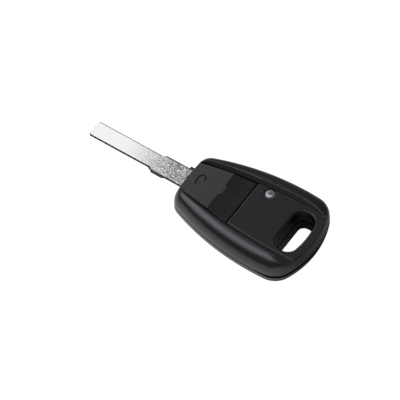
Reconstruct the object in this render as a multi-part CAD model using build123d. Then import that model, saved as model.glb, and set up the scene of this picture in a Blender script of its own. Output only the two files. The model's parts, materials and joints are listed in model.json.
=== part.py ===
from build123d import *
import math
import os

# Car key with a one-button remote in its head. Millimetres.
# The blade points along -X, the button faces +Z, and the head lies flat on Z = 0.
# The origin is the middle of the head's underside.

# Head outline, seen from above at the parting line: four large arcs with rounded corners.
head_length = 51.2
head_width = 35.0
widest_x = 11.0
side_radius = 92.0
front_radius = 80.0
rear_radius = 33.0
front_corner = 5.0
rear_corner = 8.0

# Heights of the head.
floor_thickness = 1.3
bottom_edge_radius = 3.2
seam_z = 4.5
seam_gap = 0.3
panel_z = 9.9
panel_wall = 1.5
crest_z = 11.0

# How far the domed sides lean in between the seam and the crest of the rails.
crest_inset = 5.5
front_tuck = 4.0
rear_draft = 0.3
rear_tuck = 3.0
corner_softening = 3.0
fullness = 0.85

# Flat panel between the two crescent rails.
panel_width = 21.3
panel_widest_x = 17.2
panel_side_radius = 205.0
rail_slope = 38.0
rail_fade_run = 9.0
rail_fade_margin = 3.2
groove_width = 0.35
groove_depth = 0.3

# Moulded walls and the lip that joins the two halves.
wall = 1.8
inner_edge_chamfer = 1.0
tongue_thickness = 0.8
tongue_height = 0.9
tongue_clearance = 0.08
snap_height = 0.2
snap_length = 8.0
snap_thickness = 0.3
snap_places = (-9.0, 9.0)

# Key-ring slot, which narrows towards the underside.
slot_front_x = 13.4
slot_front_lean = 1.4
slot_rear_lean = 0.6
slot_side_land = 2.1
slot_corner = 3.8
slot_corner_loss = 1.5
slot_rear_wall = 3.6
slot_wall = 1.2
slot_rim_chamfer = 0.45
slot_foot_chamfer = 0.35

# Blade, a flat blank whose root is a little wider than its shank.
blade_thickness = 2.24
blade_seat_gap = 0.1
blade_tip_x = -63.0
shank_width = 6.3
root_width = 7.8
near_shoulder_x = -38.4
far_shoulder_x = -36.9
shoulder_run = 0.8
tip_chamfer = 0.5
blade_edge_chamfer = 0.22
tang_end_x = -14.0
tang_corner = 1.2
peg_x = -18.6
peg_radius = 1.5
peg_clearance = 0.1
blade_side_clearance = 0.05
guide_thickness = 0.8
lug_length = 2.3
lug_width = 0.85

# Button flap, hinged at its blade end, with a tilted finger scoop at its free end.
button_rear_x = -3.2
button_gap = 0.28
button_rear_gap = 0.6
button_plate = 1.35
button_front_z = 9.2
ridge_x = -12.0
ridge_z = 10.05
scoop_rear_z = 9.5
scoop_sag = 0.12
hinge_x = -21.5
hinge_z = 8.6
trunnion_radius = 0.6
trunnion_clearance = 0.08
trunnion_reach = 0.9
socket_end_gap = 0.2
barrel_radius = 0.75
front_lip_length = 1.4
front_lip_gap = 0.15
catch_width = 12.0
catch_reach = 1.0
catch_thickness = 0.8
catch_root = 1.25
tray_thickness = 0.76
tray_rear_x = -13.3
tab_length = 4.0
tab_reach = 0.9
tab_y = 0.7

# Circuit board and the posts and ribs that clamp it.
board_thickness = 1.0
board_front_x = -13.2
board_rear_gap = 0.5
board_side_gap = 0.4
cell_to_board = 0.55
post_radius = 1.6
front_post_x = -8.5
front_post_y = 11.6
rear_post_x = 9.7
rear_post_y = 12.9

# Coin cell and its two contacts.
cell_radius = 10.0
cell_height = 3.2
cell_x = 1.5
cell_cap_radius = 8.8
cell_cap_height = 0.5
cell_edge_radius = 0.3
well_clearance = 0.15
well_wall = 0.9
well_height = 2.6
contact_width = 4.0
positive_thickness = 0.25
positive_reach = 6.0
positive_stand_off = 0.4
negative_thickness = 0.2
negative_foot = 2.2
negative_span = 13.0

# Push switch under the scoop.
switch_x = -8.0
switch_width = 4.6
switch_base_height = 1.1
switch_cover_thickness = 0.15
switch_well_radius = 1.7
switch_well_floor = 0.2
dome_radius = 1.55
dome_rise = 0.45
dome_thickness = 0.12
plunger_radius = 1.0
plunger_flange_radius = 1.4
plunger_flange_height = 0.35
plunger_height = 0.9
plunger_hole_gap = 0.1
press_gap = 0.05
press_nub_radius = 0.6

# Indicator lamp with its clear dome through the panel.
lamp_x = 2.2
lamp_y = 8.2
lamp_radius = 1.7
lamp_flange_radius = 2.2
lamp_flange_height = 1.0
lamp_top_z = 10.0
lamp_dome_rise = 0.45
lamp_hole_gap = 0.28
lead_size = 0.5
lead_spacing = 1.27
lead_top_z = 8.3
cup_radius = 0.55
cup_height = 0.9
die_pit_radius = 0.38
die_pit_depth = 0.4

# Transponder chip beside the blade root.
chip_length = 10.8
chip_width = 5.4
chip_height = 3.0
chip_front_x = -19.8
chip_side_y = -3.9
fence_thickness = 0.8
fence_height = 2.0
fence_gap = 0.15

# Small parts on the board.
control_length = 8.6
control_width = 3.9
control_height = 1.4
control_x = 4.4
control_y = -5.2
control_stand_off = 0.1
lead_pitch = 1.27
lead_count = 7
lead_foot = 0.7
lead_width = 0.42
lead_thickness = 0.2
resonator_length = 5.0
resonator_width = 3.6
resonator_base_height = 0.45
resonator_can_height = 0.95
resonator_x = 6.6
resonator_y = 3.4
transistor_length = 2.9
transistor_width = 1.3
transistor_height = 0.95
transistor_x = 0.4
transistor_y = 4.3
component_length = 1.6
component_width = 0.8
component_height = 0.6
component_pitch = 2.0
component_count = 4
end_cap_length = 0.3
loop_width = 1.0
loop_thickness = 0.15
loop_edge_gap = 0.9

# How far a cutting shape is drawn on past the face that it cuts.
overcut = 1.0

# Levels and places that follow from the sizes above.
skirt_z = seam_z + seam_gap / 2
rim_z = seam_z - seam_gap / 2
ceiling_z = panel_z - panel_wall
front_x = -head_length / 2
rear_x = head_length / 2
slot_length = panel_width - 2 * slot_side_land
blade_z = seam_z + blade_seat_gap
blade_top_z = blade_z + blade_thickness
tray_z = blade_top_z + tray_thickness
cell_z = floor_thickness + positive_thickness
board_z = cell_z + cell_height + cell_to_board
board_top_z = board_z + board_thickness
tongue_top_z = rim_z + tongue_height + seam_gap / 2
button_under_z = button_front_z + (ridge_z - button_front_z) / 2 - button_plate
switch_top_z = board_top_z + switch_base_height + switch_cover_thickness
plunger_z = board_top_z + switch_well_floor + dome_rise
plunger_top_z = plunger_z + plunger_height
far_above = crest_z + 5 * overcut


def block(x_low, x_high, y_low, y_high, z_low, z_high):
    """A box given by its limits."""
    size = (x_high - x_low, y_high - y_low, z_high - z_low)
    middle = ((x_low + x_high) / 2, (y_low + y_high) / 2, (z_low + z_high) / 2)
    return Pos(*middle) * Box(*size)


def column(plan, z_low, z_high):
    """A plan drawn on the ground, raised between two heights."""
    return Pos(0, 0, z_low) * extrude(plan, z_high - z_low)


def cross_rod(x, z, radius, length):
    """A round bar that lies across the key."""
    return Pos(x, 0, z) * Rot(90, 0, 0) * Cylinder(radius, length)


def shield(side=0.0, front=0.0, rear=0.0, soften=0.0):
    """The head seen from above, drawn in at its sides and ends, with its corners made tighter."""
    reach = side_radius - (head_width / 2 - side)
    plan = Pos(widest_x, -reach) * Circle(side_radius) & Pos(widest_x, reach) * Circle(side_radius)
    plan &= Pos(front_x + front + front_radius, 0) * Circle(front_radius)
    plan &= Pos(rear_x - rear - rear_radius, 0) * Circle(rear_radius)
    plan = fillet(plan.vertices().group_by(Axis.X)[-1], rear_corner - soften)
    return fillet(plan.vertices().group_by(Axis.X)[0], front_corner - soften)


def wall_plan(inset):
    """The outline moved in by an even amount, for the insides of the walls."""
    return offset(shield(), -inset)


def wall_ring(outer_inset, inner_inset):
    """A band that runs round the head between two insets."""
    return wall_plan(outer_inset) - wall_plan(inner_inset)


def panel_half_width(x, spread=0.0):
    """Half the width of the panel at one place along the head."""
    drop = panel_side_radius - math.sqrt(panel_side_radius**2 - (x - panel_widest_x) ** 2)
    return panel_width / 2 + spread - drop


def panel_plan(spread=0.0, x_low=front_x - 5 * overcut, x_high=rear_x + 5 * overcut):
    """The panel between its two long arcs, made wider or narrower by spread."""
    reach = panel_side_radius - (panel_width / 2 + spread)
    plan = Pos(panel_widest_x, -reach) * Circle(panel_side_radius)
    plan &= Pos(panel_widest_x, reach) * Circle(panel_side_radius)
    strip = Pos((x_low + x_high) / 2, 0) * Rectangle(x_high - x_low, 2 * head_width)
    return plan & strip


def slot_plan(fall=0.0, spread=0.0):
    """The key-ring slot: straight in front, and behind it an arc that follows the head's end."""
    corner = slot_corner - slot_corner_loss * fall
    x_low = slot_front_x + slot_front_lean * fall + corner
    rear_arc = rear_radius - slot_rear_wall - slot_rear_lean * fall
    core = Pos((x_low + rear_x) / 2, 0) * Rectangle(rear_x - x_low, slot_length - 2 * corner)
    core &= Pos(rear_x - rear_radius, 0) * Circle(rear_arc - corner)
    return offset(core, corner + spread)


def slot_bore():
    """The air of the key-ring slot, drawn on past both faces of the head."""
    slices = [Pos(0, 0, z) * slot_plan(fall=1 - z / panel_z) for z in (-overcut, panel_z + overcut)]
    return loft(slices, ruled=True)


def slot_surround(z_low, z_high):
    """The chimney round the slot, solid back to the head's end wall."""
    chimney = column(slot_plan(spread=slot_wall), z_low, z_high)
    half = slot_length / 2 + slot_wall
    bridge = block((slot_front_x + rear_x) / 2, rear_x, -half, half, z_low, z_high)
    return chimney + bridge


def dome():
    """The head above the seam before the panel is let in: a stack of shrinking outlines."""
    outlines = []
    for turn in (0, 12, 26, 40, 54, 67, 79, 90):
        lean = 1 - max(math.cos(math.radians(turn)), 0) ** fullness
        rise = math.sin(math.radians(turn)) ** fullness
        plan = shield(
            side=crest_inset * lean,
            front=front_tuck * lean,
            rear=rear_draft * rise + rear_tuck * lean**2,
            soften=corner_softening * lean,
        )
        outlines.append(Pos(0, 0, skirt_z + (crest_z - skirt_z) * rise) * plan)
    return loft(outlines)


def channel():
    """What is taken out of the dome to leave the flat panel and the two crescent rails."""
    depth = 2 * (crest_z - panel_z)
    run = depth / math.tan(math.radians(rail_slope))
    top = Pos(0, 0, panel_z + depth) * panel_plan(run)
    return loft([Pos(0, 0, panel_z) * panel_plan(), top], ruled=True)


def rail_ends():
    """What is taken off the rails behind, where they run down to the panel on a long arc."""
    drop = crest_z - panel_z
    end_x = rear_x - rail_fade_margin
    start_x = end_x - rail_fade_run
    arc_radius = (rail_fade_run**2 + drop**2) / (2 * drop)
    half_turn = math.asin(rail_fade_run / arc_radius) / 2
    middle = (start_x + arc_radius * math.sin(half_turn), crest_z - arc_radius * (1 - math.cos(half_turn)))
    side_view = make_face(
        [
            ThreePointArc((start_x, crest_z), middle, (end_x, panel_z)),
            Polyline((end_x, panel_z), (rear_x + overcut, panel_z), (rear_x + overcut, far_above)),
            Polyline((rear_x + overcut, far_above), (start_x, far_above), (start_x, crest_z)),
        ]
    )
    return extrude(Plane.XZ * side_view, head_width, both=True)


def snap_bars(outer_inset, inner_inset, z_low, z_high, length):
    """Short bars along the seam, two on each side."""
    ring = column(wall_ring(outer_inset, inner_inset), z_low, z_high)
    bars = [block(x - length / 2, x + length / 2, -head_width, head_width, z_low, z_high) for x in snap_places]
    return ring & Compound(children=bars)


def post_places():
    """Where the board is clamped: two posts near the switch and two near the slot."""
    front = [(front_post_x, side * front_post_y) for side in (-1, 1)]
    return front + [(rear_post_x, side * rear_post_y) for side in (-1, 1)]


def lower_shell():
    """Shallow tray with the tongue of the seam, the cell well, the blade seat and the board posts."""
    tray = fillet(column(shield(), 0, rim_z).faces().sort_by(Axis.Z)[0].edges(), bottom_edge_radius)
    hollow = column(wall_plan(wall), floor_thickness, rim_z + overcut)
    hollow = chamfer(hollow.faces().sort_by(Axis.Z)[0].edges(), inner_edge_chamfer)
    shell = tray - hollow
    tongue_inset = wall - tongue_thickness
    tongue = column(wall_ring(tongue_inset, wall), rim_z - 0.5, tongue_top_z)
    opening = root_width / 2 + blade_side_clearance + guide_thickness + tongue_clearance
    tongue -= block(front_x, tray_rear_x, -opening, opening, rim_z, far_above)
    shell += tongue
    snap_z = (rim_z + tongue_top_z + seam_gap) / 2
    shell += snap_bars(
        tongue_inset - snap_height, tongue_inset + 0.1, snap_z - snap_thickness / 2, snap_z + snap_thickness / 2, snap_length
    )
    seat_half = root_width / 2
    shell += block(front_x + wall, tang_end_x, -seat_half, seat_half, floor_thickness / 2, blade_z)
    shell += Pos(peg_x, 0, blade_z) * Cylinder(
        peg_radius, blade_thickness - blade_edge_chamfer, align=(Align.CENTER, Align.CENTER, Align.MIN)
    )
    outer = cell_radius + well_clearance + well_wall
    well = Pos(cell_x, 0) * (Circle(outer) - Circle(cell_radius + well_clearance))
    notch_half = contact_width / 2 + 0.4
    notch = Pos(cell_x, cell_radius) * Rectangle(2 * notch_half, 4 * well_wall)
    shell += column(well - notch, floor_thickness / 2, floor_thickness + well_height)
    for x, y in post_places():
        shell += column(Pos(x, y) * Circle(post_radius), floor_thickness / 2, board_z)
    chip_rear_x = chip_front_x + chip_length
    chip_far_y = chip_side_y - chip_width
    fence_z = floor_thickness + fence_height
    shell += block(
        chip_front_x + chip_length * 0.2,
        chip_rear_x,
        chip_far_y - fence_gap - fence_thickness,
        chip_far_y - fence_gap,
        floor_thickness / 2,
        fence_z,
    )
    shell += block(
        chip_rear_x + fence_gap,
        chip_rear_x + fence_gap + fence_thickness,
        chip_far_y,
        chip_side_y - fence_thickness,
        floor_thickness / 2,
        fence_z,
    )
    shell += slot_surround(floor_thickness / 2, seam_z) & column(wall_plan(wall - 0.1), 0, seam_z)
    shell -= slot_bore()
    foot = shell.faces().filter_by(Axis.Z).sort_by(Axis.Z)[0]
    return chamfer(foot.inner_wires()[0].edges(), slot_foot_chamfer)


def upper_shell():
    """Domed cover with the crescent rails, the panel, the button pocket and the blade clamp."""
    shell = dome() - channel() - rail_ends()
    panel_groove = panel_plan(x_low=button_rear_x) - panel_plan(-groove_width)
    shell -= column(panel_groove, panel_z - groove_depth, far_above)
    hollow = column(wall_plan(wall), skirt_z, ceiling_z)
    hollow = chamfer(hollow.faces().sort_by(Axis.Z)[-1].edges(), inner_edge_chamfer)
    hollow -= block(front_x, tray_rear_x, -head_width, head_width, blade_top_z, far_above)
    hollow -= slot_surround(skirt_z, ceiling_z)
    shell -= hollow
    shell += slot_surround(seam_z, skirt_z + 0.1) & column(wall_plan(wall + tongue_clearance), seam_z, far_above)
    rebate = wall_ring(wall - tongue_thickness - tongue_clearance, wall + tongue_clearance)
    shell -= column(rebate, seam_z - 0.1, tongue_top_z)
    snap_z = (rim_z + tongue_top_z + seam_gap) / 2
    snap_outer = wall - tongue_thickness - snap_height - tongue_clearance
    snap_half = snap_thickness / 2 + tongue_clearance
    snap_run = snap_length + 2 * tongue_clearance
    shell -= snap_bars(snap_outer, wall - tongue_thickness, snap_z - snap_half, snap_z + snap_half, snap_run)
    shell -= column(panel_plan(x_high=button_rear_x), tray_z, far_above)
    blade_half = root_width / 2 + blade_side_clearance
    shell -= block(front_x - overcut, tray_rear_x, -blade_half, blade_half, seam_z - 0.1, blade_top_z)
    for side in (-1, 1):
        near, far = sorted((side * blade_half, side * (blade_half + guide_thickness)))
        shell += block(front_x + wall / 2, tang_end_x, near, far, skirt_z, blade_top_z + tray_thickness / 2)
    lug_rear_x = front_x + wall
    shell += block(
        front_x - lug_length + wall / 2, lug_rear_x, blade_half, blade_half + lug_width, skirt_z, blade_top_z - 0.1
    )
    socket_length = 2 * (panel_half_width(hinge_x) + trunnion_reach + socket_end_gap)
    shell -= cross_rod(hinge_x, hinge_z, trunnion_radius + trunnion_clearance, socket_length)
    for x, y in post_places():
        shell += column(Pos(x, y) * Circle(post_radius), board_top_z, ceiling_z + 0.2)
    shell -= column(Pos(lamp_x, lamp_y) * Circle(lamp_radius + lamp_hole_gap), board_top_z, far_above)
    shell -= slot_bore()
    rim = shell.edges().filter_by_position(Axis.Z, panel_z - 0.01, panel_z + 0.01)
    rim = rim.filter_by_position(Axis.X, slot_front_x - 0.1, rear_x - slot_rear_wall + 0.1)
    rim = rim.filter_by_position(Axis.Y, -slot_length / 2 - 0.1, slot_length / 2 + 0.1)
    return chamfer(rim, slot_rim_chamfer)


def button():
    """Flap that fills the blade end of the panel, with its trunnions, catch and press nub."""
    rear = button_rear_x - button_rear_gap
    front = front_x - overcut
    lip_rear = front_x + front_lip_length
    lip_z = tray_z + front_lip_gap
    scoop_middle = ((ridge_x + rear) / 2, (ridge_z + scoop_rear_z) / 2 - scoop_sag)
    side_view = make_face(
        [
            Polyline((ridge_x, ridge_z), (front, button_front_z), (front, lip_z), (lip_rear, lip_z)),
            Polyline((lip_rear, lip_z), (lip_rear, button_under_z), (rear, button_under_z), (rear, scoop_rear_z)),
            ThreePointArc((rear, scoop_rear_z), scoop_middle, (ridge_x, ridge_z)),
        ]
    )
    plate = extrude(Plane.XZ * side_view, head_width / 2, both=True)
    plate &= column(panel_plan(-button_gap, x_high=rear), 0, far_above)
    plate &= dome()
    width = 2 * (panel_half_width(hinge_x) - button_gap)
    plate += cross_rod(hinge_x, hinge_z, barrel_radius, width)
    plate += cross_rod(hinge_x, hinge_z, trunnion_radius, width + 2 * (button_gap + trunnion_reach))
    catch_z = ceiling_z - catch_thickness
    half = catch_width / 2
    plate += block(rear - catch_root, rear, -half, half, catch_z, button_under_z + 0.1)
    plate += block(rear - catch_root, button_rear_x + catch_reach, -half, half, catch_z, ceiling_z)
    nub = Pos(switch_x, 0) * Circle(press_nub_radius)
    plate += column(nub, plunger_top_z + press_gap, button_under_z + 0.1)
    tab_rise = tab_reach * (ridge_z - button_front_z) / (ridge_x - front)
    tab_view = make_face(
        Polyline(
            (ridge_x - tab_reach, button_under_z),
            (ridge_x - tab_reach, ridge_z - tab_rise),
            (ridge_x + tab_reach, ridge_z + tab_rise),
            (ridge_x + tab_reach, button_under_z),
            close=True,
        )
    )
    tab = Pos(0, tab_y, 0) * extrude(Plane.XZ * tab_view, tab_length / 2, both=True)
    return plate + tab


def blade():
    """Steel blank: square tip, shank, two staggered shoulders and a tang with a locating hole."""
    shank = shank_width / 2
    root = root_width / 2
    plan = make_face(
        Polyline(
            (blade_tip_x, -shank + tip_chamfer),
            (blade_tip_x + tip_chamfer, -shank),
            (near_shoulder_x, -shank),
            (near_shoulder_x + shoulder_run, -root),
            (tang_end_x - tang_corner, -root),
            (tang_end_x, -root + tang_corner),
            (tang_end_x, root - tang_corner),
            (tang_end_x - tang_corner, root),
            (far_shoulder_x + shoulder_run, root),
            (far_shoulder_x, shank),
            (blade_tip_x + tip_chamfer, shank),
            (blade_tip_x, shank - tip_chamfer),
            close=True,
        )
    )
    bar = column(plan, blade_z, blade_top_z)
    rims = bar.faces().sort_by(Axis.Z)
    bar = chamfer(rims[0].edges() + rims[-1].edges(), blade_edge_chamfer)
    return bar - column(Pos(peg_x, 0) * Circle(peg_radius + peg_clearance), blade_z, blade_top_z)


def coin_cell():
    """Button cell: a crimped can with the smaller cap uppermost."""
    can_height = cell_height - cell_cap_height
    half_section = make_face(
        Polyline(
            (0, cell_z),
            (cell_radius - cell_edge_radius, cell_z),
            (cell_radius, cell_z + cell_edge_radius),
            (cell_radius, cell_z + can_height - cell_edge_radius),
            (cell_radius - cell_edge_radius, cell_z + can_height),
            (cell_cap_radius, cell_z + can_height),
            (cell_cap_radius - cell_edge_radius, cell_z + cell_height),
            (0, cell_z + cell_height),
            close=True,
        )
    )
    return Pos(cell_x, 0) * revolve(Plane.XZ * half_section, Axis.Z)


def positive_contact():
    """Strip that lies under the can and turns up beside it to the board."""
    outside = cell_radius + positive_stand_off
    low = cell_x - contact_width / 2
    high = cell_x + contact_width / 2
    foot_top = floor_thickness + positive_thickness
    strip = block(low, high, -positive_reach, outside + positive_thickness, floor_thickness, foot_top)
    return strip + block(low, high, outside, outside + positive_thickness, floor_thickness, board_z)


def negative_contact():
    """Bowed leaf: two feet on the board and a middle that presses on the cap of the cell."""
    half = negative_span / 2
    top = board_z
    low = board_z - cell_to_board
    foot = half - negative_foot
    outer = [
        Line((-half, top), (-foot, top)),
        ThreePointArc((-foot, top), (0, low + negative_thickness), (foot, top)),
        Line((foot, top), (half, top)),
    ]
    inner = [
        Line((half, top - negative_thickness), (foot, top - negative_thickness)),
        ThreePointArc((foot, top - negative_thickness), (0, low), (-foot, top - negative_thickness)),
        Line((-foot, top - negative_thickness), (-half, top - negative_thickness)),
    ]
    ends = [
        Line((half, top), (half, top - negative_thickness)),
        Line((-half, top - negative_thickness), (-half, top)),
    ]
    section = make_face(outer + inner + ends)
    return Pos(cell_x, 0) * extrude(Plane.XZ * section, contact_width / 2, both=True)


def board_plan():
    """The circuit board, which follows the walls of the head."""
    rear = slot_front_x - slot_wall - board_rear_gap
    strip = Pos((board_front_x + rear) / 2, 0) * Rectangle(rear - board_front_x, 2 * head_width)
    return wall_plan(wall + board_side_gap) & strip


def lead_places():
    """The two leads of the lamp, side by side across its middle."""
    return [(lamp_x - lead_spacing / 2, lamp_y), (lamp_x + lead_spacing / 2, lamp_y)]


def circuit_board():
    """Board with two square holes for the lamp's leads."""
    board = column(board_plan(), board_z, board_top_z)
    for x, y in lead_places():
        board -= column(Pos(x, y) * Rectangle(lead_size + 0.1, lead_size + 0.1), board_z, board_top_z)
    return board


def antenna_loop():
    """Flat copper loop that follows the edge of the board and the posts, open at the switch end."""
    room = board_plan()
    for x, y in post_places():
        room -= Pos(x, y) * Circle(post_radius + 0.2)
    loop = offset(room, -loop_edge_gap) - offset(room, -loop_edge_gap - loop_width)
    loop -= Pos(board_front_x, 0) * Rectangle(2 * (loop_edge_gap + loop_width) + 1.0, switch_width * 3)
    return column(loop, board_top_z, board_top_z + loop_thickness)


def lamp_leadframe():
    """Two square leads, one with the small reflector cup that carries the light source."""
    pieces = []
    for index, (x, y) in enumerate(lead_places()):
        lead = Pos(x, y) * Rectangle(lead_size, lead_size)
        if index:
            pieces.append(column(lead, board_z, lead_top_z))
            continue
        cup = Pos(x, y) * Circle(cup_radius)
        pit = Pos(x, y) * Circle(die_pit_radius)
        post = column(lead, board_z, lead_top_z) + column(cup, lead_top_z - cup_height, lead_top_z)
        pieces.append(post - column(pit, lead_top_z - die_pit_depth, lead_top_z))
    return pieces


def lamp():
    """Clear lamp body with a flange on the board and a low domed top, level with the panel."""
    shoulder_z = lamp_top_z - lamp_dome_rise
    dome_radius = (lamp_radius**2 + lamp_dome_rise**2) / (2 * lamp_dome_rise)
    flange_z = board_top_z + lamp_flange_height
    half_section = make_face(
        [
            Polyline(
                (0, board_top_z),
                (lamp_flange_radius, board_top_z),
                (lamp_flange_radius, flange_z),
                (lamp_radius, flange_z),
                (lamp_radius, shoulder_z),
            ),
            RadiusArc((lamp_radius, shoulder_z), (0, lamp_top_z), -dome_radius),
            Line((0, lamp_top_z), (0, board_top_z)),
        ]
    )
    body = Pos(lamp_x, lamp_y) * revolve(Plane.XZ * half_section, Axis.Z)
    for piece in lamp_leadframe():
        body -= piece
    return body


def switch_base():
    """Square moulded base of the push switch with a round well."""
    half = switch_width / 2
    top = board_top_z + switch_base_height
    base = block(switch_x - half, switch_x + half, -half, half, board_top_z, top)
    well = Pos(switch_x, 0) * Circle(switch_well_radius)
    return base - column(well, board_top_z + switch_well_floor, top)


def switch_cover():
    """Thin steel cover plate with the hole for the plunger and two tabs down the sides."""
    half = switch_width / 2
    low = board_top_z + switch_base_height
    cover = block(switch_x - half, switch_x + half, -half, half, low, switch_top_z)
    cover -= column(Pos(switch_x, 0) * Circle(plunger_radius + plunger_hole_gap), low, switch_top_z)
    for side in (-1, 1):
        near, far = sorted((side * half, side * (half + switch_cover_thickness)))
        tab_z = board_top_z + switch_base_height / 2
        cover += block(switch_x - half / 2, switch_x + half / 2, near, far, tab_z, switch_top_z)
    return cover


def switch_dome():
    """Snap dome under the plunger."""
    outer = (dome_radius**2 + dome_rise**2) / (2 * dome_rise)
    base_z = board_top_z + switch_well_floor
    centre = Pos(switch_x, 0, base_z + dome_rise - outer)
    bowl = centre * (Sphere(outer) - Sphere(outer - dome_thickness))
    return bowl & column(Pos(switch_x, 0) * Circle(dome_radius), base_z, far_above)


def switch_plunger():
    """Plunger with the flange that keeps it under the cover."""
    stem = column(Pos(switch_x, 0) * Circle(plunger_radius), plunger_z, plunger_top_z)
    flange = Pos(switch_x, 0) * Circle(plunger_flange_radius)
    return stem + column(flange, plunger_z, plunger_z + plunger_flange_height)


def transponder_chip():
    """Moulded carbon block of the immobiliser transponder."""
    rear = chip_front_x + chip_length
    top = floor_thickness + chip_height
    chip = block(chip_front_x, rear, chip_side_y - chip_width, chip_side_y, floor_thickness, top)
    return chamfer(chip.edges().filter_by(Axis.Z), 0.8)


def control_chip():
    """Moulded package of the control circuit."""
    half = control_width / 2
    low = board_top_z + control_stand_off
    body = block(
        control_x - control_length / 2,
        control_x + control_length / 2,
        control_y - half,
        control_y + half,
        low,
        low + control_height,
    )
    dot = Pos(control_x - control_length / 2 + 1.0, control_y - half + 0.9) * Circle(0.35)
    body = chamfer(body.faces().sort_by(Axis.Z)[-1].edges(), 0.15)
    return body - column(dot, low + control_height - 0.1, far_above)


def control_leads():
    """Gull-wing leads of the control circuit, in two rows."""
    half = control_width / 2
    exit_z = board_top_z + control_stand_off + control_height / 2
    leads = []
    for index in range(lead_count):
        x = control_x + (index - (lead_count - 1) / 2) * lead_pitch
        for side in (-1, 1):
            path = [
                (half, exit_z),
                (half + lead_foot / 2, exit_z),
                (half + lead_foot / 2, board_top_z + lead_thickness),
                (half + 1.5 * lead_foot, board_top_z + lead_thickness),
                (half + 1.5 * lead_foot, board_top_z),
                (half + lead_foot / 2 - lead_thickness, board_top_z),
                (half + lead_foot / 2 - lead_thickness, exit_z - lead_thickness),
                (half, exit_z - lead_thickness),
            ]
            outline = Polyline([(side * y, z) for y, z in path], close=True)
            lead = extrude(Plane.YZ * make_face(outline), lead_width / 2, both=True)
            leads.append(Pos(x, control_y, 0) * lead)
    return leads


def resonator_base():
    """Ceramic base of the radio resonator."""
    length = resonator_length / 2
    width = resonator_width / 2
    top = board_top_z + resonator_base_height
    return block(
        resonator_x - length, resonator_x + length, resonator_y - width, resonator_y + width, board_top_z, top
    )


def resonator_can():
    """Pressed metal lid soldered to the base of the resonator."""
    inset = 0.25
    length = resonator_length / 2 - inset
    width = resonator_width / 2 - inset
    low = board_top_z + resonator_base_height
    lid = block(
        resonator_x - length,
        resonator_x + length,
        resonator_y - width,
        resonator_y + width,
        low,
        low + resonator_can_height - inset,
    )
    lid = fillet(lid.edges().filter_by(Axis.Z), 0.5)
    return fillet(lid.faces().sort_by(Axis.Z)[-1].edges(), 0.2)


def transistor():
    """Three-legged transistor package."""
    low = board_top_z + control_stand_off
    body = block(
        transistor_x - transistor_length / 2,
        transistor_x + transistor_length / 2,
        transistor_y - transistor_width / 2,
        transistor_y + transistor_width / 2,
        low,
        low + transistor_height,
    )
    return chamfer(body.faces().sort_by(Axis.Z)[-1].edges(), 0.12)


def transistor_legs():
    """Flat legs of the transistor: two on one side and one on the other."""
    half = transistor_width / 2
    legs = []
    for x, side in ((-0.95, -1), (0.95, -1), (0.0, 1)):
        near, far = sorted((transistor_y + side * half, transistor_y + side * (half + lead_foot)))
        middle = transistor_x + x
        low = middle - lead_width / 2
        legs.append(block(low, low + lead_width, near, far, board_top_z, board_top_z + lead_thickness * 1.5))
    return legs


def component_places(kind):
    """A row of capacitors beside the control circuit and a column of resistors in front of it."""
    places = []
    for index in range(component_count):
        step = (index - (component_count - 1) / 2) * component_pitch
        if kind == "capacitor":
            side = control_width / 2 + 1.5 * lead_foot + component_width
            places.append((control_x - lead_pitch + step, control_y - side))
        else:
            front = control_length / 2 + component_length
            places.append((control_x - front, control_y + step))
    return places


def components(kind):
    """Bodies of the two-ended components."""
    length = component_length - 2 * end_cap_length
    bodies = []
    for x, y in component_places(kind):
        bodies.append(Pos(x, y, board_top_z + component_height / 2) * Box(length, component_width, component_height))
    return bodies


def component_ends():
    """Tinned ends of the two-ended components."""
    ends = []
    for kind in ("capacitor", "resistor"):
        for x, y in component_places(kind):
            for side in (-1, 1):
                shift = side * (component_length - end_cap_length) / 2
                cap = Box(end_cap_length, component_width, component_height)
                ends.append(Pos(x + shift, y, board_top_z + component_height / 2) * cap)
    return ends


nodes = {
    "lower_shell": lower_shell(),
    "upper_shell": upper_shell(),
    "button": button(),
    "blade": blade(),
    "circuit_board": circuit_board(),
    "antenna_loop": antenna_loop(),
    "coin_cell": coin_cell(),
    "battery_contact_positive": positive_contact(),
    "battery_contact_negative": negative_contact(),
    "switch_base": switch_base(),
    "switch_cover": switch_cover(),
    "switch_dome": switch_dome(),
    "switch_plunger": switch_plunger(),
    "indicator_lamp": lamp(),
    "lamp_leadframe": lamp_leadframe(),
    "transponder_chip": transponder_chip(),
    "control_chip": control_chip(),
    "control_chip_leads": control_leads(),
    "resonator_base": resonator_base(),
    "resonator_can": resonator_can(),
    "transistor": transistor(),
    "transistor_legs": transistor_legs(),
    "capacitors": components("capacitor"),
    "resistors": components("resistor"),
    "component_ends": component_ends(),
}

os.makedirs("parts", exist_ok=True)
for name, shape in nodes.items():
    solids = shape if isinstance(shape, list) else [shape]
    export_step(Compound(children=[solid for piece in solids for solid in piece.solids()]), f"parts/{name}.step")
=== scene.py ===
import json
import math

import bmesh
import bpy
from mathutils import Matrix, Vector
from mathutils.bvhtree import BVHTree

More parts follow.
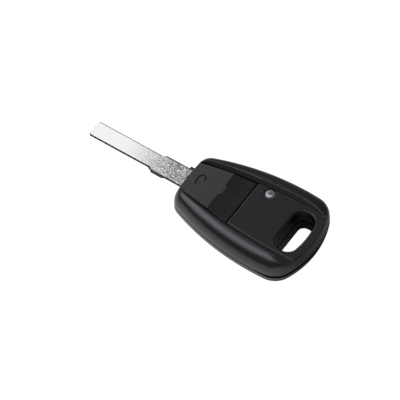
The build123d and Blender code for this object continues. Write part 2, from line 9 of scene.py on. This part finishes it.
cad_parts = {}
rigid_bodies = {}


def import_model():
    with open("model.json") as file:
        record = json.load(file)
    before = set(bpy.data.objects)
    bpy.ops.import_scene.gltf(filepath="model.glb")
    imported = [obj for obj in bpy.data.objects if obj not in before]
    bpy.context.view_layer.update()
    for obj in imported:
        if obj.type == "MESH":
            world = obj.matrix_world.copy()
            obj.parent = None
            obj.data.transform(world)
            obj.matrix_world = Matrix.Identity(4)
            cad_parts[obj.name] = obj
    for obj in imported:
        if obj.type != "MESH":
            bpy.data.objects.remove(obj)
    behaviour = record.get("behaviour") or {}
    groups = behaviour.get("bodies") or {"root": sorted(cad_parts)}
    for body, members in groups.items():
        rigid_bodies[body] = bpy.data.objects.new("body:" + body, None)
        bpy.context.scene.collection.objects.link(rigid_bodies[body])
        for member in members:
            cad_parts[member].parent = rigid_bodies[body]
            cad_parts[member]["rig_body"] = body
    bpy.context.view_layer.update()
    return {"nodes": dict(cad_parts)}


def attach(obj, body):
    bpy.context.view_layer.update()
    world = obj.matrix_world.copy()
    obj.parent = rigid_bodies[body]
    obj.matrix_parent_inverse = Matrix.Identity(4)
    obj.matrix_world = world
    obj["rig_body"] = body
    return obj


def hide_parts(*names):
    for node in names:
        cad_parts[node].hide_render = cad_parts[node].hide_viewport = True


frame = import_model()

nodes = frame["nodes"]
MM = 0.001

# Studio: white paper under a large softbox above the blade's end and a fainter one on the far
# side. The camera looks down on the near side from far away, so the key's lines stay parallel.

view_turn = math.radians(33.6)
view_height = math.radians(55.2)
view_distance = 2.6
picture_width = 400
pixels_per_mm = 3.0
film_width = 36.0
aim = Vector((-17.76, -3.84, 4.61)) * MM
toward_camera = Vector(
    (
        math.sin(view_turn) * math.cos(view_height),
        -math.cos(view_turn) * math.cos(view_height),
        math.sin(view_height),
    )
)
camera_data = bpy.data.cameras.new("camera")
camera_data.sensor_width = film_width
camera_data.lens = film_width * view_distance / (picture_width / pixels_per_mm * MM)
camera_data.clip_start = 0.1
camera_data.clip_end = 20.0
camera = bpy.data.objects.new("camera", camera_data)
camera.location = aim + toward_camera * view_distance
camera.rotation_mode = "QUATERNION"
camera.rotation_quaternion = toward_camera.to_track_quat("Z", "Y")
bpy.context.scene.collection.objects.link(camera)
bpy.context.scene.camera = camera
bpy.context.scene.view_settings.view_transform = "Standard"


def softbox(name, place, size, brightness, tint):
    """A rectangular studio lamp that faces the key and that the camera doesn't see."""
    data = bpy.data.lights.new(name, "AREA")
    data.shape = "RECTANGLE"
    data.size, data.size_y = size
    data.energy = brightness * math.pi * size[0] * size[1]
    data.color = tint
    lamp = bpy.data.objects.new(name, data)
    lamp.location = place
    lamp.rotation_mode = "QUATERNION"
    lamp.rotation_quaternion = Vector(place).to_track_quat("Z", "Y")
    lamp.visible_camera = False
    bpy.context.scene.collection.objects.link(lamp)


cool_white = (0.93, 0.91, 1.0)
softbox("blade end softbox", (-0.5, -0.18, 0.86), (0.6, 1.16), 3.6, cool_white)
softbox("far side softbox", (-0.72, 0.62, 0.75), (0.45, 0.5), 2.3, cool_white)

# The room is dim to the key and plain white behind it.
room_brightness = 0.2
room = bpy.data.worlds.new("dim room")
room.use_nodes = True
seen = room.node_tree.nodes.new("ShaderNodeLightPath")
room_light = room.node_tree.nodes.new("ShaderNodeMapRange")
room_light.inputs["To Min"].default_value = room_brightness
room.node_tree.links.new(seen.outputs["Is Camera Ray"], room_light.inputs["Value"])
room.node_tree.nodes["Background"].inputs["Color"].default_value = (1, 1, 1, 1)
room.node_tree.links.new(room_light.outputs[0], room.node_tree.nodes["Background"].inputs["Strength"])
bpy.context.scene.world = room

sheet_half = 3.0


def flat_sheet(name, height):
    """A level square of paper that is part of the set."""
    bm = bmesh.new()
    bmesh.ops.create_grid(bm, x_segments=1, y_segments=1, size=sheet_half)
    bmesh.ops.translate(bm, verts=bm.verts, vec=(0, 0, height))
    mesh = bpy.data.meshes.new(name)
    bm.to_mesh(mesh)
    bm.free()
    paper_sheet = bpy.data.objects.new(name, mesh)
    bpy.context.scene.collection.objects.link(paper_sheet)
    return paper_sheet


# The key lies on white paper, which its walls mirror. The paper glows with painted light, bright on the
# near side and towards the blade and falling to a painted shadow beyond the head. A thin veil of pure
# white lies over the paper for the picture alone, so the ground stays clean and the shadows faint.
paper_floor = flat_sheet("white_paper", -0.2 * MM)
white_veil = flat_sheet("white_veil", -0.1 * MM)
white_veil.visible_diffuse = False
white_veil.visible_glossy = False
white_veil.visible_shadow = False
white_veil.visible_transmission = False


class Wire:
    """A number that varies over a surface. Arithmetic on it adds Math nodes."""

    def __init__(self, finish, socket):
        self.finish = finish
        self.socket = socket

    def math(self, operation, first, second=None):
        values = {0: first} if second is None else {0: first, 1: second}
        return self.finish.wire("ShaderNodeMath", {"operation": operation}, values)

    def __add__(self, other):
        return self.math("ADD", self, other)

    def __sub__(self, other):
        return self.math("SUBTRACT", self, other)

    def __mul__(self, other):
        return self.math("MULTIPLY", self, other)

    def __pow__(self, other):
        return self.math("POWER", self, other)

    def __radd__(self, other):
        return self.math("ADD", other, self)

    def __rsub__(self, other):
        return self.math("SUBTRACT", other, self)

    def __rmul__(self, other):
        return self.math("MULTIPLY", other, self)

    def __abs__(self):
        return self.math("ABSOLUTE", self)

    def at_least(self, other):
        return self.math("MAXIMUM", self, other)

    def rise(self, low, high):
        """Runs from 0 at low to 1 at high, with soft ends."""
        settings = {"interpolation_type": "SMOOTHSTEP"}
        sockets = {"Value": self, "From Min": low, "From Max": high}
        return self.finish.wire("ShaderNodeMapRange", settings, sockets)


class Finish:
    """A material of one Principled shader, whose pattern is drawn on the piece's own coordinates."""

    def __init__(self, name, **constants):
        self.material = bpy.data.materials.new(name)
        self.material.use_nodes = True
        self.tree = self.material.node_tree
        self.shader = self.tree.nodes["Principled BSDF"]
        for socket, value in constants.items():
            self.set(socket.replace("_", " "), value)
        self.place = self.add("ShaderNodeTexCoord", {}, {}).outputs["Object"]

    def add(self, kind, settings, sockets):
        """Adds a node: first its settings, then the values or links of its sockets."""
        node = self.tree.nodes.new(kind)
        for key, value in settings.items():
            setattr(node, key, value)
        for key, value in sockets.items():
            if isinstance(value, Wire):
                value = value.socket
            if isinstance(value, bpy.types.NodeSocket):
                self.tree.links.new(value, node.inputs[key])
            elif isinstance(value, tuple) and len(value) == 3 and node.inputs[key].type == "RGBA":
                node.inputs[key].default_value = (*value, 1)
            else:
                node.inputs[key].default_value = value
        return node

    def wire(self, kind, settings, sockets, output=0):
        """Adds a node and wraps one of its outputs."""
        return Wire(self, self.add(kind, settings, sockets).outputs[output])

    def set(self, name, value):
        """Sets or links a socket of the shader."""
        socket = self.shader.inputs[name]
        if isinstance(value, Wire):
            self.tree.links.new(value.socket, socket)
        elif isinstance(value, tuple) and len(value) == 3:
            socket.default_value = (*value, 1)
        else:
            socket.default_value = value

    def axis(self, index):
        """The distance along X, Y or Z in millimetres."""
        return self.wire("ShaderNodeSeparateXYZ", {}, {0: self.place}, index) * (1 / MM)

    def specks(self, size_mm, detail=2.0):
        """Soft random pattern from 0 to 1 with spots of about the given size."""
        sockets = {"Vector": self.place, "Scale": 0.5 / (size_mm * MM), "Detail": detail}
        return self.wire("ShaderNodeTexNoise", {}, sockets)

    def pits(self, size_mm):
        """Distance to the nearest of many scattered points, in cells of the given size."""
        sockets = {"Vector": self.place, "Scale": 1 / (size_mm * MM)}
        return self.wire("ShaderNodeTexVoronoi", {}, sockets)

    def blend(self, share, first, second):
        """One colour where share is 0 and another where it is 1."""
        node = self.add("ShaderNodeMix", {"data_type": "RGBA"}, {0: share, 6: first, 7: second})
        return Wire(self, node.outputs[2])

    def paint_shade(self, share):
        """Paints shade: turns the surface to plain matt black where share is 1, as in the shaded depth of
        a groove.
        """
        black = self.tree.nodes.new("ShaderNodeBsdfPrincipled")
        black.inputs["Base Color"].default_value = (0.002, 0.002, 0.002, 1)
        black.inputs["Roughness"].default_value = 1.0
        black.inputs["Specular IOR Level"].default_value = 0.0
        sockets = {0: share, 1: self.shader.outputs[0], 2: black.outputs[0]}
        mixed = self.add("ShaderNodeMixShader", {}, sockets).outputs[0]
        self.tree.links.new(mixed, self.tree.nodes["Material Output"].inputs["Surface"])

    def relief(self, height, depth_mm, worn_mm=0.0):
        """Raises the surface by height times a depth, over corners worn to a radius, in millimetres."""
        sockets = {"Height": height, "Distance": depth_mm * MM}
        if worn_mm:
            sockets["Normal"] = self.wire("ShaderNodeBevel", {"samples": 8}, {"Radius": worn_mm * MM})
        self.set("Normal", self.wire("ShaderNodeBump", {}, sockets))


paper = Finish("white paper", Roughness=0.9)
paper.set("Base Color", paper.blend(paper.specks(4.0), (0.4, 0.4, 0.4), (0.42, 0.42, 0.42)))
paper.set("Specular IOR Level", 0.0)
# The paper's glow is painted light: full white on the near side and towards the blade, falling to a
# painted shadow behind and beyond the head.
painted_floor_shadow = (paper.axis(0) * 0.6 + paper.axis(1) * 0.8).rise(-8.0, 16.0)
paper.set("Emission Color", paper.blend(painted_floor_shadow, (1.0, 1.0, 1.0), (0.05, 0.05, 0.05)))
paper.set("Emission Strength", 0.82)
paper_floor.data.materials.append(paper.material)

veil = Finish("white veil", Alpha=0.8, Roughness=1.0)
veil.set("Base Color", (0.0, 0.0, 0.0))
veil.set("Specular IOR Level", 0.0)
veil.set("Emission Color", (1.0, 1.0, 1.0))
veil.set("Emission Strength", 1.25)
white_veil.data.materials.append(veil.material)


# Lower shell: the shallow tray below the seam, one injection moulding in black nylon.
# It clips to the cover by the tongue round the seam, and the key lies on its flat underside.
# The mould is spark eroded, which leaves a fine grain on every outer face.

shell_crease = 18.0
shell_edge = 0.14
housing_black = (0.0045, 0.0045, 0.005)
seam_z = 4.5
slot_front_x = 12.6
slot_rear_x = 22.6
slot_half_length = 9.0
weld_gap = 0.02
flat_enough = math.radians(0.6)
blunt_crest_z = 10.98
blunt_crest_angle = math.radians(40.0)


def skin(name, crease, edge):
    """A welded copy of a node's mesh, smooth between its creases and rounded along them.

    The rails' crests are blunt towards the slot, and stay as they are there.
    """
    node = nodes[name]
    bm = bmesh.new()
    bm.from_mesh(node.data)
    bmesh.ops.remove_doubles(bm, verts=bm.verts, dist=weld_gap * MM)
    bmesh.ops.dissolve_degenerate(bm, edges=bm.edges, dist=weld_gap / 2 * MM)
    bmesh.ops.dissolve_limit(bm, angle_limit=flat_enough, verts=bm.verts, edges=bm.edges)
    limit = math.radians(crease)
    for face in bm.faces:
        face.smooth = True
    share = bm.edges.layers.float.new("bevel_weight_edge")
    for bm_edge in bm.edges:
        angle = bm_edge.calc_face_angle(0)
        bm_edge.smooth = len(bm_edge.link_faces) == 2 and angle < limit
        on_crest = min(vert.co.z for vert in bm_edge.verts) > blunt_crest_z * MM
        bm_edge[share] = 0.0 if bm_edge.smooth or (on_crest and angle < blunt_crest_angle) else 1.0
    mesh = bpy.data.meshes.new(name + "_skin")
    bm.to_mesh(mesh)
    bm.free()
    piece = bpy.data.objects.new(name + "_skin", mesh)
    bpy.context.scene.collection.objects.link(piece)
    if edge:
        rounding = piece.modifiers.new("rounded edges", "BEVEL")
        rounding.width = edge * MM
        rounding.segments = 2
        rounding.limit_method = "WEIGHT"
        rounding.use_clamp_overlap = False
        rounding.harden_normals = True
    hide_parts(name)
    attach(piece, node["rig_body"])
    return piece


def coat(piece, *finishes):
    """Gives a piece its finishes in place of what it has."""
    piece.data.materials.clear()
    for finish in finishes:
        piece.data.materials.append(finish.material)


def painted_seam_and_slot_shade(finish):
    """Where shade is painted: 1 in the parting line, which is open widest behind the slot, and deep in the
    slot.
    """
    along = finish.axis(0)
    height = finish.axis(2)
    widening = along.rise(10.0, 19.0) * 0.4
    parting = 1.0 - (abs(height - seam_z) - widening).rise(0.08, 0.3)
    in_slot = along.rise(slot_front_x, slot_front_x + 0.4)
    in_slot = in_slot * (1.0 - along.rise(slot_rear_x - 0.3, slot_rear_x))
    in_slot = in_slot * (1.0 - abs(finish.axis(1)).rise(slot_half_length, slot_half_length + 0.2))
    below_rim = 1.0 - height.rise(8.0, 9.8)
    return (parting * 0.95).at_least(in_slot * below_rim * 0.55)


def moulded_plastic(name, colour, gloss_low, gloss_high, grain_mm, grain_depth, worn_mm):
    """Grained plastic: pitted relief, uneven gloss, stray dust, corners worn to a radius, and painted
    shade in the parting line and deep in the slot.
    """
    finish = Finish(name)
    grain = finish.specks(grain_mm, 3.0)
    pits = finish.pits(grain_mm * 1.6).rise(0.05, 0.55)
    cloud = finish.specks(6.0, 3.0)
    dust = finish.specks(0.18, 1.0).rise(0.72, 0.8) * 0.5
    lifted = tuple(part * 2.2 + 0.004 for part in colour)
    height = grain * 0.5 + pits * 0.5
    gloss = gloss_low + (gloss_high - gloss_low) * (grain * 0.6 + cloud * 0.4)
    # Painted shade: the parting line and the depth of the slot turn matt black.
    finish.paint_shade(painted_seam_and_slot_shade(finish))
    finish.set("Base Color", finish.blend(cloud * 0.35 + dust, colour, lifted))
    finish.set("Roughness", gloss)
    finish.relief(height, grain_depth, worn_mm)
    return finish


tray_plastic = moulded_plastic("tray plastic", housing_black, 0.2, 0.34, 0.22, 0.01, 0.25)
lower_tray = skin("lower_shell", shell_crease, shell_edge)
coat(lower_tray, tray_plastic)


# Blade: a flat blank stamped from nickel-plated steel, plain where a locksmith would cut its track.
# It is clamped by its root between the two halves of the head. The faces are tumbled to a fine
# sparkle under a painted highlight that is brightest at the tip and fades to dark near the head,
# and painted shade darkens the far edge of the top and the edges of the sheared sides.

blade_tip_x = -63.0
blade_root_x = -26.0
blade_z = 4.6
blade_top_z = 6.84
shank_width = 6.3
root_width = 7.8
far_shoulder_x = -36.9
shoulder_run = 0.8
burr_front_x = -39.2
burr_rear_x = -32.0


def plated_steel(name, bright, dull, rough_low, rough_high, sparkle_mm, relief_mm):
    """Plated or bare metal with a fine sparkle and uneven gloss."""
    finish = Finish(name, Metallic=1.0)
    sparkle = finish.specks(sparkle_mm, 2.0)
    cloud = finish.specks(5.0, 3.0)
    finish.set("Base Color", finish.blend(sparkle.rise(0.3, 0.7) * 0.7 + cloud * 0.3, bright, dull))
    finish.set("Roughness", rough_low + (rough_high - rough_low) * cloud)
    finish.relief(sparkle, relief_mm)
    return finish


blade_face = Finish("tumbled nickel", Metallic=1.0)
toward_head = blade_face.axis(0).rise(blade_tip_x + 12.0, blade_root_x - 1.0)
crystals = blade_face.specks(0.24, 2.0).rise(0.42, 0.6)
flecks = blade_face.specks(0.4, 1.0).rise(0.48, 0.64)
# Painted highlight: the top is near white at the tip and fades to dark near the head, with specks mixed
# in.
painted_highlight_and_specks = toward_head * (0.5 + 0.6 * crystals - 0.4 * flecks)
nickel = blade_face.blend(painted_highlight_and_specks, (1.0, 1.0, 0.93), (0.17, 0.168, 0.155))
# Painted shade: a dark line along the far edge of the top face.
far_step = (root_width - shank_width) / 2 - 0.2
past_shoulder = blade_face.axis(0).rise(far_shoulder_x - shoulder_run, far_shoulder_x)
far_edge_y = shank_width / 2 + past_shoulder * far_step
painted_far_edge_shade = (blade_face.axis(1) - far_edge_y).rise(-0.6, -0.32)
blade_face.set("Base Color", blade_face.blend(painted_far_edge_shade * 0.85, nickel, (0.055, 0.05, 0.045)))
blade_face.set("Roughness", 0.5 - 0.16 * toward_head)
blade_face.relief(crystals * toward_head, 0.012)

# The sheared sides are left bright but for painted shade along their upper edges, which is widest
# behind the near shoulder, and fainter painted shade along their lower edges.
blade_side = Finish("sheared side", Metallic=1.0, Roughness=0.3)
below_top = blade_top_z - blade_side.axis(2)
behind_shoulder = blade_side.axis(0).rise(burr_front_x, burr_front_x + 0.6)
behind_shoulder = behind_shoulder * (1.0 - blade_side.axis(0).rise(burr_rear_x - 1.5, burr_rear_x))
side_edge_shade = 1.0 - (below_top - behind_shoulder * 0.9).rise(0.75, 1.0)
side_edge_shade = side_edge_shade.at_least(0.3 - 0.3 * blade_side.axis(2).rise(blade_z + 0.1, blade_z + 0.4))
streaks = blade_side.specks(0.5, 3.0)
bright_side = blade_side.blend(streaks * 0.3, (1.0, 1.0, 0.98), (0.7, 0.7, 0.68))
blade_side.set("Base Color", blade_side.blend(side_edge_shade, bright_side, (0.012, 0.012, 0.012)))
blade_side.relief(streaks, 0.004)
# Painted shade for the sloped faces along the blade's edges.
blade_edge_shade = plated_steel("painted edge shade", (0.03, 0.03, 0.03), (0.012, 0.012, 0.012), 0.4, 0.6, 0.3, 0.01)
blade = skin("blade", 24.0, 0.06)
coat(blade, blade_face, blade_side, blade_edge_shade)
# The sides take their own finish, and the sloped edge faces take the painted edge shade.
for face in blade.data.polygons:
    if abs(face.normal.z) < 0.3:
        face.material_index = 1
    elif 0 < face.normal.z < 0.95 and abs(face.normal.y) > 0.3:
        face.material_index = 2


# Transponder chip: a passive coil cast in a wedge of black epoxy, dropped into its pocket beside
# the blade's root before the head is closed.


def dress(finish, *names):
    """Gives a finish to nodes that keep their own mesh."""
    for name in names:
        coat(nodes[name], finish)


def cast_body(name, colour, gloss, grain_mm):
    """A moulded or sintered body: one colour with faint clouds, fine grain and uneven gloss."""
    finish = Finish(name)
    grain = finish.specks(grain_mm, 3.0)
    cloud = finish.specks(grain_mm * 9, 2.0)
    lighter = tuple(min(1.0, part * 1.35 + 0.01) for part in colour)
    finish.set("Base Color", finish.blend(cloud * 0.5 + grain * 0.5, colour, lighter))
    finish.set("Roughness", gloss + 0.18 * grain)
    finish.relief(grain, grain_mm * 0.06)
    return finish


transponder_epoxy = cast_body("transponder epoxy", (0.012, 0.012, 0.013), 0.42, 0.2)
dress(transponder_epoxy, "transponder_chip")


# Coin cell and its two contacts: a nickel-plated can with a fine turned finish, held in a well of
# the tray between strips of sprung, plated steel.

cell_x, cell_y = 1.5, 0.0
ring_waves = 45.0


def turned_steel(name, colour, centre):
    """Plated metal with faint rings of the lathe about a centre."""
    finish = Finish(name, Metallic=1.0)
    along = finish.axis(0) - centre[0]
    across = finish.axis(1) - centre[1]
    radius = (along ** 2.0 + across ** 2.0) ** 0.5
    rings = finish.wire("ShaderNodeMath", {"operation": "SINE"}, {0: radius * ring_waves}) * 0.5 + 0.5
    cloud = finish.specks(3.0, 3.0)
    duller = tuple(part * 0.72 for part in colour)
    finish.set("Base Color", finish.blend(cloud * 0.7 + rings * 0.3, colour, duller))
    finish.set("Roughness", 0.22 + 0.16 * cloud)
    finish.relief(rings, 0.002)
    return finish


cell_can = turned_steel("turned nickel can", (0.66, 0.66, 0.65), (cell_x, cell_y))
dress(cell_can, "coin_cell")
contact_strip = plated_steel("sprung strip", (0.72, 0.69, 0.6), (0.55, 0.52, 0.44), 0.2, 0.36, 0.5, 0.002)
dress(contact_strip, "battery_contact_positive", "battery_contact_negative")


# Circuit board: glass cloth laminate under green solder resist, with the copper loop of the aerial
# round its rim. Its routed edges show the bare, straw-coloured laminate.

weave_waves = 11.0

board_resist = Finish("solder resist", Coat_Weight=0.25)
warp = board_resist.wire("ShaderNodeMath", {"operation": "SINE"}, {0: board_resist.axis(0) * weave_waves})
weft = board_resist.wire("ShaderNodeMath", {"operation": "SINE"}, {0: board_resist.axis(1) * weave_waves})
cloth = warp * weft * 0.5 + 0.5
facing = board_resist.add("ShaderNodeTexCoord", {}, {}).outputs["Normal"]
flat = abs(board_resist.wire("ShaderNodeSeparateXYZ", {}, {0: facing}, 2)).rise(0.4, 0.6)
uneven = cloth * 0.4 + board_resist.specks(1.6) * 0.4
resist_green = board_resist.blend(uneven, (0.012, 0.1, 0.04), (0.025, 0.17, 0.07))
board_resist.set("Base Color", board_resist.blend(flat, (0.34, 0.31, 0.16), resist_green))
board_resist.set("Roughness", 0.5 - 0.25 * flat + 0.06 * cloth)
board_resist.relief(cloth, 0.004)
dress(board_resist, "circuit_board")
aerial_copper = plated_steel("bare copper", (0.3, 0.13, 0.07), (0.12, 0.055, 0.035), 0.35, 0.5, 0.5, 0.003)
dress(aerial_copper, "antenna_loop")


# Parts soldered to the board: the control chip, transistor and resistors in black epoxy, the
# capacitors and the resonator's base in fired ceramic, and everything that takes solder in tin.

chip_epoxy = cast_body("chip epoxy", (0.014, 0.014, 0.015), 0.45, 0.12)
dress(chip_epoxy, "control_chip", "transistor", "resistors")
resonator_ceramic = cast_body("fired ceramic", (0.62, 0.6, 0.54), 0.4, 0.1)
dress(resonator_ceramic, "resonator_base")
capacitor_body = cast_body("capacitor ceramic", (0.3, 0.2, 0.115), 0.35, 0.1)
dress(capacitor_body, "capacitors")
solder_tin = plated_steel("tinned metal", (0.72, 0.73, 0.74), (0.5, 0.51, 0.53), 0.22, 0.42, 0.25, 0.004)
dress(solder_tin, "control_chip_leads", "transistor_legs", "component_ends", "resonator_can")


# Push switch: a black base, a snap dome of sprung steel, a folded tin cover and a cream plunger
# that stands through it under the button's nub.

dress(chip_epoxy, "switch_base")
cover_tin = plated_steel("folded tin cover", (0.68, 0.69, 0.7), (0.52, 0.53, 0.55), 0.26, 0.4, 0.6, 0.003)
dress(cover_tin, "switch_cover", "switch_dome")
plunger_nylon = cast_body("plunger nylon", (0.5, 0.47, 0.4), 0.36, 0.15)
dress(plunger_nylon, "switch_plunger")


# Indicator lamp: a clear epoxy lens that stands in a plain round hole of the panel, cast round the
# two legs of its leadframe.

lens_x, lens_y = 2.2, 8.2

dress(solder_tin, "lamp_leadframe")
lens = skin("indicator_lamp", 30.0, 0.0)
clear_lens = Finish("clear lens", Roughness=0.1, IOR=1.5)
along = clear_lens.axis(0) - lens_x
across = clear_lens.axis(1) - lens_y
offcentre = (along ** 2.0 + across ** 2.0) ** 0.5
core = 1.0 - offcentre.rise(0.25, 0.8)
# The crescent is a painted highlight: a pale arc on the near side of the lens rim.
crescent = offcentre.rise(0.6, 0.85) * (1.0 - offcentre.rise(1.15, 1.4)) * (0.0 - across).rise(0.0, 0.7)
cast = clear_lens.specks(0.5, 2.0)
milky = clear_lens.blend(core * 0.7 + cast * 0.3, (0.2, 0.2, 0.205), (0.08, 0.08, 0.085))
clear_lens.set("Base Color", clear_lens.blend(crescent, milky, (0.55, 0.55, 0.56)))
clear_lens.relief(offcentre.rise(0.5, 1.6), 0.05)
coat(lens, clear_lens)


# Upper shell: the domed cover with its two crescent rails and the panel between them.
# One moulding in the tray's black nylon. Handling has worn the crests of the rails round.

rail_foot_z = 10.02
rail_foot_y = 7.5

cover_plastic = moulded_plastic("cover plastic", housing_black, 0.24, 0.3, 0.22, 0.004, 0.35)
near_rail = moulded_plastic("near rail plastic", housing_black, 0.24, 0.44, 0.24, 0.009, 1.1)
far_rail = moulded_plastic("far rail plastic", housing_black, 0.22, 0.32, 0.22, 0.005, 0.28)
upper_cover = skin("upper_shell", shell_crease, shell_edge)
coat(upper_cover, cover_plastic, near_rail, far_rail)
for face in upper_cover.data.polygons:
    middle = face.center / MM
    if middle.z > rail_foot_z and abs(middle.y) > rail_foot_y:
        face.material_index = 1 if middle.y < 0 else 2


# Button flap: a separate moulding in slightly finer grain that fills the blade end of the panel
# and turns on two trunnions at the front. The open hook on it is a plain shackle, sunk by a
# round-nosed tool, with painted shade that turns its groove near-black and dull.

hook_path = (
    (-20.6, -1.95),
    (-21.15, -1.5),
    (-21.42, -0.5),
    (-21.42, 0.8),
    (-21.25, 1.7),
    (-20.7, 2.3),
    (-19.9, 2.42),
    (-19.25, 2.15),
    (-18.95, 1.5),
    (-18.97, 0.6),
)
hook_tool_radius = 0.3
hook_tool_lift = 0.1
hook_reach = 0.9
groove_face_area = 0.2
flap_crease = 7.5
flap_edge = 0.12
flap_sharp = math.radians(28.0)
above_key = 20.0


def surface_height(tree, x, y):
    """How high a mesh's top lies at a place, all in millimetres."""
    hit = tree.ray_cast(Vector((x, y, above_key)) * MM, Vector((0, 0, -1)))
    return hit[0].z / MM


def evaluated_mesh(piece):
    """The mesh that a piece's modifiers give."""
    depsgraph = bpy.context.evaluated_depsgraph_get()
    return bpy.data.meshes.new_from_object(piece.evaluated_get(depsgraph))


button_flap = skin("button", flap_crease, flap_edge)
button_flap.data = evaluated_mesh(button_flap)
button_flap.modifiers.clear()

flap = bmesh.new()
flap.from_mesh(button_flap.data)
flap_tree = BVHTree.FromBMesh(flap)
flap.free()
tool_curve = bpy.data.curves.new("round_nosed_tool", "CURVE")
tool_curve.dimensions = "3D"
tool_curve.bevel_depth = hook_tool_radius * MM
tool_curve.bevel_resolution = 4
tool_curve.use_fill_caps = True
stroke = tool_curve.splines.new("NURBS")
stroke.points.add(len(hook_path) - 1)
for point, (x, y) in zip(stroke.points, hook_path):
    point.co = (x * MM, y * MM, (surface_height(flap_tree, x, y) + hook_tool_lift) * MM, 1)
stroke.order_u = 3
stroke.use_endpoint_u = True
stroke.resolution_u = 6
tool_run = bpy.data.objects.new("round_nosed_tool", tool_curve)
bpy.context.scene.collection.objects.link(tool_run)
tool_mesh = evaluated_mesh(tool_run)
bpy.data.objects.remove(tool_run)
tool = bpy.data.objects.new("round_nosed_tool", tool_mesh)
bpy.context.scene.collection.objects.link(tool)
sinking = button_flap.modifiers.new("sunk hook", "BOOLEAN")
sinking.object = tool
sinking.solver = "EXACT"
button_flap.data = evaluated_mesh(button_flap)
button_flap.modifiers.clear()
bpy.data.objects.remove(tool)

button_plastic = moulded_plastic("button plastic", housing_black, 0.2, 0.32, 0.18, 0.006, 0.0)
# Painted shade in the groove of the hook: near-black with a weak reflection.
groove_shade_plastic = cast_body("painted groove shade", (0.002, 0.002, 0.002), 0.6, 0.1)
groove_shade_plastic.set("Specular IOR Level", 0.2)
coat(button_flap, button_plastic, groove_shade_plastic)
flap = bmesh.new()
flap.from_mesh(button_flap.data)
for face in flap.faces:
    face.smooth = True
    middle = face.calc_center_median() / MM
    near_hook = min((middle.xy - Vector(place)).length for place in hook_path) < hook_reach
    in_groove = middle.z > 8.0 and face.calc_area() < groove_face_area * MM * MM
    face.material_index = 1 if near_hook and in_groove else 0
for bm_edge in flap.edges:
    bm_edge.smooth = len(bm_edge.link_faces) == 2 and bm_edge.calc_face_angle(0) < flap_sharp
flap.to_mesh(button_flap.data)
flap.free()
evening = button_flap.modifiers.new("even faces", "WEIGHTED_NORMAL")
evening.keep_sharp = True
evening.weight = 80
